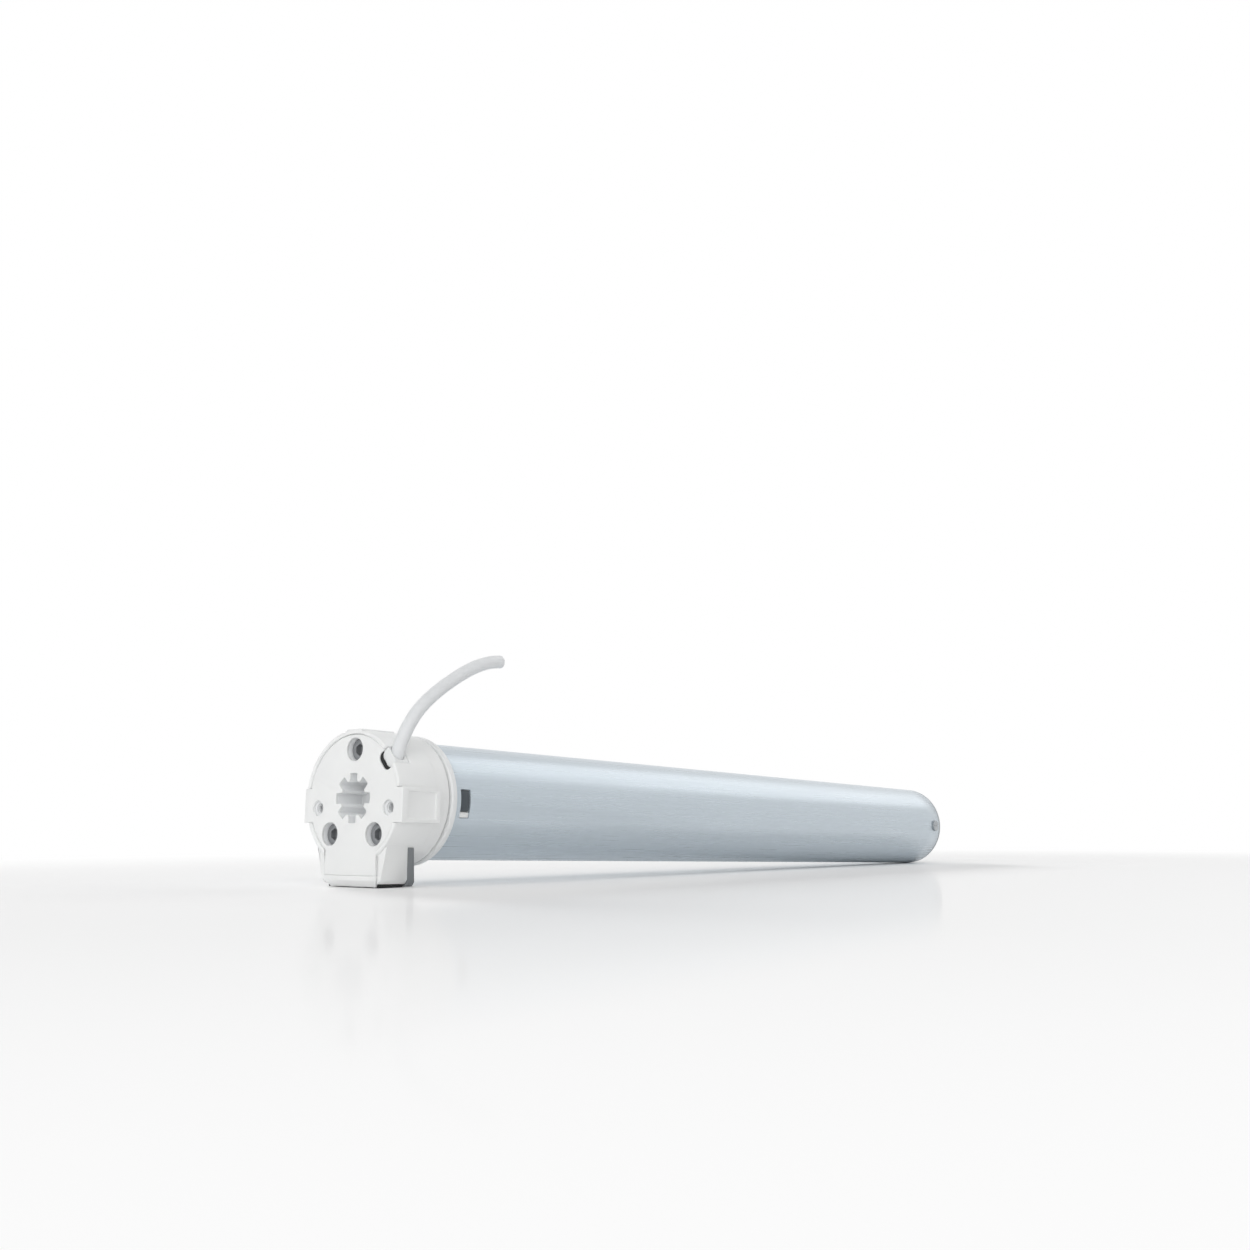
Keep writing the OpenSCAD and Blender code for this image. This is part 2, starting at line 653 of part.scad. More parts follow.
// Black trough behind the spigot that carries the board and the capacitor.
module electronics_carrier() color(black) on_axis() {
  difference() {
    rotate(90) turned([[0, spigot_end - 8], [spigot_ir - drop_fit, spigot_end - 8],
      [spigot_ir - drop_fit, trough_x], [trough_r, trough_x], [trough_r, trough_end], [0, trough_end]]);
    rotate(90) turned([[0, spigot_end - 9], [spigot_ir - 2, spigot_end - 9], [spigot_ir - 2, trough_x + 4],
      [trough_ir, trough_x + 4], [trough_ir, trough_end - 4], [trough_ir - 1, trough_end - 4],
      [trough_ir - 1, trough_end + cut], [0, trough_end + cut]]);
    block([-20, 0, trough_x + 4], [20, trough_r + cut, trough_end - 4]);
  }
  intersection() {
    bar(trough_x, trough_r - 0.5, trough_end - trough_x);
    union() {
      for (s = [-1, 1]) translate([s * (board_w / 2 - ledge_t), 0, 0]) block(
        [-ledge_t / 2, -trough_r, board_x + 2], [ledge_t / 2, -board_drop, board_x + board_len - 2]);
      for (x = [can_x + 6, can_x + cap_can_len - 10]) difference() {
        block([5 - can_r, -trough_r, x], [can_r - 5, -can_r / 2, x + 4]);
        bar(x - cut, can_r + set_fit, 4 + 2 * cut);
      }
    }
  }
}

// Control board on the trough's two ribs.
module control_board() color(board_green) on_axis() block([-board_w / 2, -board_drop, board_x],
  [board_w / 2, board_top, board_x + board_len]);

// A box-shaped component on the board, centred sideways on y, its place and length along the
// board given as shares of the board.
module part_on_board(y, x, w, h, len) translate([y, 0, board_x + x * board_len])
  block([-w / 2, board_top, 0], [w / 2, board_top + h, len * board_len]);

// Two relays for up and down.
module relays() color(black) on_axis() for (s = [-1, 1]) part_on_board(s * 9, 0.7, 13, relay_h, 0.18);

// Mains transformer of the control board.
module transformer() color(bronze) on_axis() part_on_board(0, 0.36, 24, 18, 0.24);

// Radio receiver board standing on two short blocks.
module radio_module() color(board_green) on_axis() {
  part_on_board(-10, 0.07, 12, 2.5, 0.18);
  part_on_board(-10, 0.18, 8, 3.5, 0.05);
}

// Terminal block for the cable's cores.
module terminal_block() color(grey_plastic) on_axis() difference() {
  part_on_board(9, 0.05, 16, 10, 0.11);
  for (k = [-1 : 1]) translate([9 + 5 * k, board_top + 5, board_x]) cylinder(r = 1.6, h = 0.11 * board_len);
}

// Run capacitor in the trough's two saddles.
module capacitor() color(white) on_axis() {
  bar(can_x, can_r, cap_can_len);
  bar(can_x - 3, can_r - 5, 3);
}

// Disc shield with a bearing seat that opens at this end.
module shield(x, seat_x) difference() {
  bar(x, inner_r, shield_t);
  bar(seat_x, bearing_r + set_fit, bearing_w + set_fit);
  bar(x - cut, race_r + 2, shield_t + 2 * cut);
}

// Front bearing shield.
module front_shield() color(zinc) on_axis() shield(front_shield_x, front_shield_x + shield_t - bearing_w);

// Rear bearing shield.
module rear_shield() color(zinc) on_axis() shield(rear_shield_x, rear_shield_x - set_fit);

// Ring-shaped sensor board on the front shield.
module encoder_board() color(board_green) on_axis()
  pipe(front_shield_x - board_t, inner_r - 4, magnet_r + 2, board_t);

// Sensor magnet on the rotor shaft's front end.
module encoder_magnet() color(dark_steel) on_axis()
  pipe(rotor_front + 0.5, magnet_r, shaft_r + 0.02, 4.5);

// Outer rings of both ball bearings.
module bearing_outers() color(steel) on_axis() {
  pipe(front_shield_x + shield_t - bearing_w, bearing_r, race_r + side_gap, bearing_w);
  pipe(rear_shield_x, bearing_r, race_r + side_gap, bearing_w);
}

// Inner rings of both ball bearings, on the shaft.
module bearing_inners() color(steel) on_axis() {
  pipe(front_shield_x + shield_t - bearing_w, race_r, shaft_r + 0.02, bearing_w);
  pipe(rear_shield_x, race_r, shaft_r + 0.02, bearing_w);
}

// Outline of the stator slots; grow widens or narrows them.
module slot_shape(grow) for (k = [0 : slots - 1]) rotate(k * 360 / slots)
  translate([slot_in_r - grow, -slot_w / 2 - grow])
    square([slot_out_r - slot_in_r + 2 * grow, slot_w + 2 * grow]);

// Laminated stator stack.
module stator_core() color(steel) on_axis() difference() {
  pipe(stack_x, stator_r, bore_r, stack_len);
  translate([0, 0, stack_x - cut]) linear_extrude(stack_len + 2 * cut) slot_shape(0.1);
}

// Copper windings: bars in the slots and the bundles beyond both ends.
module stator_windings() color(copper) on_axis() {
  translate([0, 0, stack_x - 3]) linear_extrude(stack_len + 6) slot_shape(-0.1);
  for (x = [stack_x - winding_len, stack_x + stack_len + 0.5])
    pipe(x, slot_out_r + 1, slot_in_r, winding_len - 0.5);
}

// Laminated rotor with its two short-circuit rings.
module rotor_core() color(steel) on_axis() {
  pipe(stack_x + 2, rotor_r, shaft_r + 0.02, rotor_len);
  for (x = [stack_x - 2, stack_x + 2 + rotor_len]) pipe(x, rotor_r - 1, rotor_r - 6, 4);
}

// Rotor shaft, stepped down at the first sun gear.
module rotor_shaft() color(steel) on_axis() {
  bar(rotor_front, shaft_r, ring_x - rotor_front);
  bar(ring_x - cut, stub_r, stage_1 + planet_w1 - ring_x + cut);
}

// Brake disc on the rotor shaft.
module brake_disc() color(dark_steel) on_axis() {
  pipe(disc_x, disc_r, shaft_r + 0.02, disc_t);
  pipe(disc_x - 1.5, shaft_r + 3, shaft_r + 0.02, 1.6);
}

// Guide pins of the brake, grown for their holes.
module guide_pins(x, len, grow = 0) for (a = [45 : 90 : 315]) rotate(a)
  translate([inner_r - 3, 0, x]) cylinder(r = 1.5 + grow, h = len);

// Steel armature that slides on the guide pins and grips the disc when the power is off.
module brake_armature() color(steel) on_axis() difference() {
  pipe(armature_x, inner_r - 0.5, shaft_r + 3, armature_t);
  guide_pins(armature_x - cut, armature_t + 2 * cut, run_fit);
}

// Brake magnet: pot, coil window and the guide pins.
module brake_magnet() color(dark_steel) on_axis() {
  difference() {
    pipe(magnet_x, inner_r, shaft_r + 3, magnet_len);
    pipe(magnet_x - cut, inner_r - 7, shaft_r + 7, 9);
  }
  guide_pins(armature_x - 0.5, magnet_x - armature_x + 1.5);
}

// Plate between the brake and the gears.
module gear_plate() color(zinc) on_axis()
  pipe(gear_plate_x, inner_r, gear_m * (sun_teeth / 2 + addendum) + 0.5, gear_plate_t);

// Involute of a pressure angle, in degrees.
function involute(a) = tan(a) * 180 / PI - a;
// Half the angle that a tooth takes at radius r, thinned by play at the pitch circle.
function tooth_half(teeth, r, play) = let (pitch_r = gear_m * teeth / 2)
  90 / teeth + involute(pressure_angle) - play / 2 / pitch_r * 180 / PI
  - involute(acos(min(1, pitch_r * cos(pressure_angle) / r)));
// Outline of a gear between two radii; the first tooth points along x.
function gear_line(teeth, low_r, high_r, play) = [for (k = [0 : teeth - 1]) each [
  for (s = [-1, 1]) for (j = s < 0 ? [0 : 2] : [2 : -1 : 0])
    let (r = low_r + (high_r - low_r) * j / 2, a = k * 360 / teeth + s * tooth_half(teeth, r, play))
      r * [cos(a), sin(a)]]];
// Outline of an outside gear of this many teeth.
module gear_shape(teeth) polygon(gear_line(teeth, gear_m * (teeth / 2 - dedendum),
  gear_m * (teeth / 2 + addendum), tooth_play));

// Ring gear: one toothed pipe shared by the three stages.
module ring_gear() color(zinc) on_axis() translate([0, 0, ring_x]) linear_extrude(ring_end - ring_x)
  difference() {
    circle(ring_or);
    polygon(gear_line(ring_teeth, gear_m * (ring_teeth / 2 - addendum),
      gear_m * (ring_teeth / 2 + dedendum), -tooth_play));
  }

// A sun gear on a stub; its gaps face the planets.
module sun(x, len) color(steel) on_axis() translate([0, 0, x]) linear_extrude(len) difference() {
  rotate(180 / sun_teeth) gear_shape(sun_teeth);
  circle(stub_r + 0.02);
}
module sun_1() sun(ring_x + 0.2, stage_1 + planet_w1 - ring_x - 0.2);
module sun_2() sun(plate_1 + carrier_t1, gear_gap + planet_w2);
module sun_3() sun(plate_2 + carrier_t2, gear_gap + planet_w3);

// A planet gear; one tooth points away from the axis into a gap of the ring gear.
module planet(x, len, turn) color(bronze) on_axis() rotate(turn) translate([orbit_r, 0, x])
  linear_extrude(len) difference() {
    gear_shape(planet_teeth);
    circle(pin_r + run_fit);
  }
module planet_1a() planet(stage_1, planet_w1, planet_turns[0]);
module planet_1b() planet(stage_1, planet_w1, planet_turns[1]);
module planet_1c() planet(stage_1, planet_w1, planet_turns[2]);
module planet_2a() planet(stage_2, planet_w2, planet_turns[0]);
module planet_2b() planet(stage_2, planet_w2, planet_turns[1]);
module planet_2c() planet(stage_2, planet_w2, planet_turns[2]);
module planet_3a() planet(stage_3, planet_w3, planet_turns[0]);
module planet_3b() planet(stage_3, planet_w3, planet_turns[1]);
module planet_3c() planet(stage_3, planet_w3, planet_turns[2]);

// Three planet pins with flat heads, from the planets' front through the carrier.
module pins(x, len) color(steel) on_axis() for (a = planet_turns) rotate(a) translate([orbit_r, 0, 0]) {
  bar(x - 0.25, pin_r, len + 0.25);
  bar(x - 0.25 - pin_head_t, pin_head_r, pin_head_t);
}
module pins_1() pins(stage_1, planet_w1 + gear_gap + carrier_t1);
module pins_2() pins(stage_2, planet_w2 + gear_gap + carrier_t2);
module pins_3() pins(stage_3, planet_w3 + gear_gap + carrier_t3);

// A carrier plate with three pin holes; stub is the length of its seat for the next sun.
module carrier(x, t, stub, ir = 0) color(zinc) on_axis() {
  difference() {
    bar(x, carrier_r, t);
    for (a = planet_turns) rotate(a) translate([orbit_r, 0, x - cut])
      cylinder(r = pin_r + 0.02, h = t + 2 * cut);
    if (ir > 0) bar(x - cut, ir, t + 2 * cut);
  }
  if (stub > 0) bar(x + t - 0.5, stub_r, stub + 0.5);
}
module carrier_1() carrier(plate_1, carrier_t1, gear_gap + planet_w2);
module carrier_2() carrier(plate_2, carrier_t2, gear_gap + planet_w3);
module output_carrier() carrier(plate_3, carrier_t3, 0, out_r + 0.02);

// Output shaft: seat in the carrier, collar, clip groove, flat and threaded end hole.
module output_shaft() color(steel) on_axis() difference() {
  union() {
    bar(plate_3, out_r, shaft_end - 1 - plate_3);
    bar(plate_3 + carrier_t3, out_r + 3, cap_in - side_gap - plate_3 - carrier_t3);
    translate([0, 0, shaft_end - 1]) cylinder(r1 = out_r, r2 = out_r - 1, h = 1);
  }
  pipe(clip_x - set_fit, out_r + 2, out_r - 0.7, clip_t + 2 * set_fit);
  block([-out_r, out_r - shaft_flat, clip_x + clip_t / 2], [out_r, out_r + cut, shaft_end + cut]);
  bar(shaft_end - 15, shaft_hole_d / 2, 15 + cut);
}

// Two bronze bushes of the output shaft.
module output_bushes() color(bronze) on_axis() for (x = [bush_in_x, bush_out_x])
  pipe(x, bush_r, out_r + run_fit, bush_len);

// Spring clip in the shaft's groove.
module shaft_clip() color(dark_steel) on_axis() difference() {
  pipe(clip_x, out_r + 2.2, out_r - 0.65, clip_t);
  block([-2.5, 0, clip_x - cut], [2.5, out_r + 4, clip_x + clip_t + cut]);
}

// Cast end cap: flange, boss, skirt in the tube and the hub of the bushes.
module drive_end_cap() color(zinc) on_axis() difference() {
  union() {
    turned(concat([[0, cap_in], [inner_r - 1, cap_in], [inner_r, cap_in + 2],
      [inner_r, tube_end + set_fit], [tube_r, tube_end + set_fit]],
      round_edge([tube_r - flange_round, motor_length - flange_round], flange_round, 0, 90),
      [[boss_r + 1, motor_length], [boss_r, motor_length + 1], [boss_r, motor_length + boss_h - edge],
      [boss_r - edge, motor_length + boss_h], [0, motor_length + boss_h]]));
  }
  difference() {
    bar(cap_in + bush_len + 6, inner_r - cap_wall, tube_end - cap_in - bush_len - 12);
    bar(cap_in, bush_r + 2.5, cap_depth);
  }
  bar(cap_in - cut, bush_r + set_fit, cap_depth + flange_t + boss_h + 2 * cut);
  for (a = cap_screw_turns) outwards(a, cap_screw_x)
    bar(inner_r - cap_screw_len - 1, cap_screw_r + set_fit, cap_screw_len + 2);
}

// Pan head screws that hold the tube on the cap.
module cap_screws() color(dark_steel) on_axis() for (a = cap_screw_turns) outwards(a, cap_screw_x)
  difference() {
    union() {
      bar(inner_r - cap_screw_len, cap_screw_r, tube_r - inner_r + cap_screw_len + 0.6);
      bar(tube_r, cap_screw_head / 2, 1.2);
    }
    block([-cap_screw_head, -0.4, tube_r + 0.6], [cap_screw_head, 0.4, tube_r + 2]);
  }

head_cover();
head_core();
head_body();
foot_cap();
foot_back_plate();
foot_screws();
head_screws();
cable_plug();
cable();
crown_ring();
motor_tube();
tube_latches();
electronics_carrier();
control_board();
relays();
transformer();
radio_module();
terminal_block();
capacitor();
front_shield();
encoder_board();
encoder_magnet();
bearing_outers();
bearing_inners();
stator_core();
stator_windings();
rotor_core();
rotor_shaft();
rear_shield();
brake_disc();
brake_armature();
brake_magnet();
gear_plate();
ring_gear();
sun_1();
sun_2();
sun_3();
planet_1a();
planet_1b();
planet_1c();
planet_2a();
planet_2b();
planet_2c();
planet_3a();
planet_3b();
planet_3c();
pins_1();
pins_2();
pins_3();
carrier_1();
carrier_2();
output_carrier();
output_shaft();
output_bushes();
shaft_clip();
drive_end_cap();
cap_screws();
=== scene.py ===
import math

import bmesh
import bpy
from mathutils import Matrix, Vector


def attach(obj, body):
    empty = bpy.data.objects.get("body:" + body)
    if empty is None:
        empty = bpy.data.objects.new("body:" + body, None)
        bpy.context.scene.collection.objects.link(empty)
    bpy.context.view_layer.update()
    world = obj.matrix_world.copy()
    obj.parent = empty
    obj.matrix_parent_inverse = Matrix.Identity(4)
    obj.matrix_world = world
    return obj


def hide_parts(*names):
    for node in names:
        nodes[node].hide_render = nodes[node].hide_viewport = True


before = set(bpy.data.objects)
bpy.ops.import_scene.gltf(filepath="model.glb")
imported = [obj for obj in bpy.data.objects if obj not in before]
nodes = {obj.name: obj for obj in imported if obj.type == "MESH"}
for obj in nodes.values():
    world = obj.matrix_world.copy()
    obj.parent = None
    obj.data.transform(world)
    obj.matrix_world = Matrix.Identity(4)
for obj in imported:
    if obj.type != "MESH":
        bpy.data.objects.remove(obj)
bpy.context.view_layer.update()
scene = bpy.context.scene
scene.view_settings.view_transform = "Standard"

# The scene is in metres. Sizes are written in millimetres, unless a comment says metres.
MM = 0.001

# Camera from which the outlines of the head and the tube fit the photograph: its three axes, its
# place in metres, and its focal length as pixels of a picture this wide.
CAMERA_RIGHT = (0.60475423, -0.79631617, 0.01236435)
CAMERA_UP = (-0.13539852, -0.0875032, 0.98691967)
CAMERA_BACK = (-0.78481817, -0.59851796, -0.16073796)
CAMERA_PLACE = (-0.447486, -0.500264, -0.023744)
FOCAL_PIXELS, PICTURE_PIXELS = 1399.37, 1250
SENSOR_WIDTH = 36
NEAREST_SEEN = 10


def photo_camera():
    lens = bpy.data.cameras.new("photo_camera")
    lens.sensor_fit = "HORIZONTAL"
    lens.sensor_width = SENSOR_WIDTH
    lens.lens = SENSOR_WIDTH * FOCAL_PIXELS / PICTURE_PIXELS
    lens.clip_start = NEAREST_SEEN * MM
    eye = bpy.data.objects.new("photo_camera", lens)
    axes = zip(CAMERA_RIGHT, CAMERA_UP, CAMERA_BACK)
    rows = [(*row, place) for row, place in zip(axes, CAMERA_PLACE)]
    eye.matrix_world = Matrix([*rows, (0, 0, 0, 1)])
    scene.collection.objects.link(eye)
    scene.camera = eye


photo_camera()

# Middle line of the cable, from inside its plug to the cut end.
CABLE_LINE = [
    (5.1, -22.6, 16.9), (5.1, -24, 21.3), (5.9, -25.4, 26.5), (7.6, -26.4, 31.5),
    (10.1, -27.1, 36.3), (13.3, -27.5, 40.6), (17.1, -27.6, 44.4), (21.3, -27.5, 47.8),
    (25.7, -27.4, 51), (30.2, -27.2, 54), (34.8, -27.1, 56.8), (39.4, -27, 59.5),
    (44.2, -27, 62.1), (49.1, -27, 64.5), (54, -27.1, 66.6), (59.1, -27.2, 68.3),
    (64.4, -27.1, 69.6), (69.7, -27, 70.3),
]
CABLE_D = 6.5
# How finely the cable is divided round its section and between two points of its line.
CABLE_ROUND, CABLE_STEPS = 6, 6


def mains_cable():
    bend = bpy.data.curves.new("mains_cable", "CURVE")
    bend.dimensions = "3D"
    bend.bevel_depth = CABLE_D / 2 * MM
    bend.bevel_resolution = CABLE_ROUND
    bend.resolution_u = CABLE_STEPS
    bend.use_fill_caps = True
    run = bend.splines.new("BEZIER")
    run.bezier_points.add(len(CABLE_LINE) - 1)
    for knot, place in zip(run.bezier_points, CABLE_LINE):
        knot.co = Vector(place) * MM
        knot.handle_left_type = knot.handle_right_type = "AUTO"
    cable = bpy.data.objects.new("mains_cable", bend)
    scene.collection.objects.link(cable)
    return cable


cable = mains_cable()


# Colours are written as they look on a screen and become linear here.
def ink(code):
    parts = [int(code[i:i + 2], 16) / 255 for i in (1, 3, 5)]
    return (*[((c + 0.055) / 1.055) ** 2.4 if c > 0.04045 else c / 12.92 for c in parts], 1)


# Adds a node with its fixed inputs, its links and its settings.
def put(tree, kind, fixed=None, links=None, **settings):
    made = tree.nodes.new(kind)
    for name, value in settings.items():
        setattr(made, name, value)
    for name, value in (fixed or {}).items():
        made.inputs[name].default_value = value
    for name, source in (links or {}).items():
        tree.links.new(source, made.inputs[name])
    return made


# Reckons with links and numbers.
def reckon(tree, operation, *terms, **settings):
    fixed = {k: term for k, term in enumerate(terms) if isinstance(term, (int, float))}
    links = {k: term for k, term in enumerate(terms) if k not in fixed}
    return put(tree, "ShaderNodeMath", fixed, links, operation=operation, **settings).outputs[0]


# How often a pattern of this real size, in millimetres, repeats in a metre.
def every(size):
    return 1 / (size * MM)


# Cloudy pattern with spots of about this size.
def noise(tree, place, size, detail):
    made = put(tree, "ShaderNodeTexNoise", {"Scale": every(size), "Detail": detail},
               {"Vector": place})
    return made.outputs[0]


# The place on the piece, shrunk along some axes so that a pattern runs on along them.
def stretched(tree, place, shares):
    return put(tree, "ShaderNodeMapping", {"Scale": shares}, {"Vector": place}).outputs[0]


# Colour sockets of a mix node.
MIX_LIGHT, MIX_DARK, MIX_RESULT = 6, 7, 2


# A pattern between two colours.
def tinted(tree, light, dark, pattern):
    made = put(tree, "ShaderNodeMix", {MIX_LIGHT: ink(light), MIX_DARK: ink(dark)},
               {0: pattern}, data_type="RGBA")
    return made.outputs[MIX_RESULT]


# A pattern between two values.
def ranged(tree, low, high, pattern):
    made = put(tree, "ShaderNodeMapRange", {"To Min": low, "To Max": high}, {"Value": pattern})
    return made.outputs[0]


# A pattern as relief of this depth.
def relief(tree, strength, depth, pattern):
    made = put(tree, "ShaderNodeBump", {"Strength": strength, "Distance": depth * MM},
               {"Height": pattern})
    return made.outputs[0]


# Starts a material: its node tree and the place on the piece.
def started(name):
    made = bpy.data.materials.new(name)
    made.use_nodes = True
    tree = made.node_tree
    tree.nodes.clear()
    return made, tree, put(tree, "ShaderNodeTexCoord").outputs["Object"]


# Ends a material with a surface of this colour, roughness, relief and share of metal.
def ended(made, tree, colour, rough, bump, metal=0.0):
    skin = put(tree, "ShaderNodeBsdfPrincipled", {"Metallic": metal},
               {"Base Color": colour, "Roughness": rough, "Normal": bump})
    put(tree, "ShaderNodeOutputMaterial", links={"Surface": skin.outputs[0]})
    return made


# Moulded finish: a fine eroded grain, slow drifts of tone where the melt flowed, a soft gloss.
def moulded(name, light, dark, rough, grain_mm=0.5, drift_mm=14):
    made, tree, place = started(name)
    drift = noise(tree, place, drift_mm, 3)
    grain = noise(tree, place, grain_mm, 2)
    return ended(made, tree, tinted(tree, light, dark, drift),
                 ranged(tree, rough - 0.07, rough + 0.07, grain), relief(tree, 0.35, 0.02, grain))


# Cast, coated or pressed finish: a pebbled skin with clouds of tone.
CAST_CLOUD_MM = 6


def cast(name, light, dark, metal, rough, pebble_mm=0.7):
    made, tree, place = started(name)
    cloud = noise(tree, place, CAST_CLOUD_MM, 4)
    pebble = put(tree, "ShaderNodeTexVoronoi", {"Scale": every(pebble_mm)}, {"Vector": place})
    return ended(made, tree, tinted(tree, light, dark, cloud),
                 ranged(tree, rough - 0.08, rough + 0.1, cloud),
                 relief(tree, 0.4, 0.03, pebble.outputs[0]), metal)


# Bare metal with fine lines, which run on along the axes that have a small share.
LINED_CLOUD_MM = 9


def lined(name, light, dark, rough, line_mm, shares):
    made, tree, place = started(name)
    line = noise(tree, stretched(tree, place, shares), line_mm, 3)
    both = reckon(tree, "MULTIPLY", line, noise(tree, place, LINED_CLOUD_MM, 3))
    return ended(made, tree, tinted(tree, light, dark, both),
                 ranged(tree, rough - 0.08, rough + 0.08, line),
                 relief(tree, 0.3, 0.006, line), 1.0)


# Zinc-coated steel tube, drawn and passivated: bluish grey, satin, with faint draw lines along it
# and a hardly visible bloom of zinc crystals.
DRAW_LINE_MM, CRYSTAL_MM, CRYSTAL_SHARE = 0.9, 7, 0.25


def zinc_coated_tube():
    made, tree, place = started("zinc_coated_drawn_steel")
    line = noise(tree, stretched(tree, place, (0.015, 1, 1)), DRAW_LINE_MM, 4)
    crystal = put(tree, "ShaderNodeTexVoronoi", {"Scale": every(CRYSTAL_MM)}, {"Vector": place})
    shade = put(tree, "ShaderNodeSeparateColor", links={0: crystal.outputs["Color"]}).outputs[0]
    bloom = put(tree, "ShaderNodeMix", {MIX_DARK: ink("#c1cdd1")},
                {0: reckon(tree, "MULTIPLY", shade, CRYSTAL_SHARE),
                 MIX_LIGHT: tinted(tree, "#cad4dc", "#bdc7cf", line)}, data_type="RGBA")
    return ended(made, tree, bloom.outputs[MIX_RESULT], ranged(tree, 0.24, 0.33, line),
                 relief(tree, 0.12, 0.006, line), 0.4)


# PVC sheath, extruded: smooth and fairly glossy, with slow drifts of tone and waves along it.
WAVE_MM, SHEATH_DRIFT_MM = 9, 5


def extruded_sheath():
    made, tree, place = started("extruded_pvc_sheath")
    drift = noise(tree, place, SHEATH_DRIFT_MM, 2)
    return ended(made, tree, tinted(tree, "#e8eaeb", "#dfe1e3", drift),
                 ranged(tree, 0.26, 0.34, drift),
                 relief(tree, 0.15, 0.03, noise(tree, place, WAVE_MM, 1)))


# Green glass-fibre board under solder lacquer: glossy, with the weave and paler tracks. A row of
# the brick pattern is a quarter as high as the pattern's own size.
TRACK_MM, ROW_SHARE, WEAVE_MM = 1.2, 0.25, 0.6


def lacquered_board():
    made, tree, place = started("lacquered_glass_fibre_board")
    track = put(tree, "ShaderNodeTexBrick",
                {"Scale": every(TRACK_MM / ROW_SHARE), "Color1": ink("#1d5a3c"),
                 "Color2": ink("#174a32"), "Mortar": ink("#2f7a55"), "Mortar Size": 0.06},
                {"Vector": place})
    weave = noise(tree, place, WEAVE_MM, 2)
    return ended(made, tree, track.outputs[0], ranged(tree, 0.2, 0.34, weave),
                 relief(tree, 0.3, 0.02, weave))


# Layered or wound metal: bands of one width across an axis. The wave pattern turns by this many
# radians over its own size.
WAVE_RADIANS = 20


def banded(name, light, dark, band_mm, direction, rough, metal):
    made, tree, place = started(name)
    band = put(tree, "ShaderNodeTexWave",
               {"Scale": every(band_mm) * math.tau / WAVE_RADIANS, "Distortion": 0.4},
               {"Vector": place}, bands_direction=direction).outputs[0]
    return ended(made, tree, tinted(tree, light, dark, band),
                 ranged(tree, rough - 0.06, rough + 0.08, band),
                 relief(tree, 0.5, 0.05, band), metal)


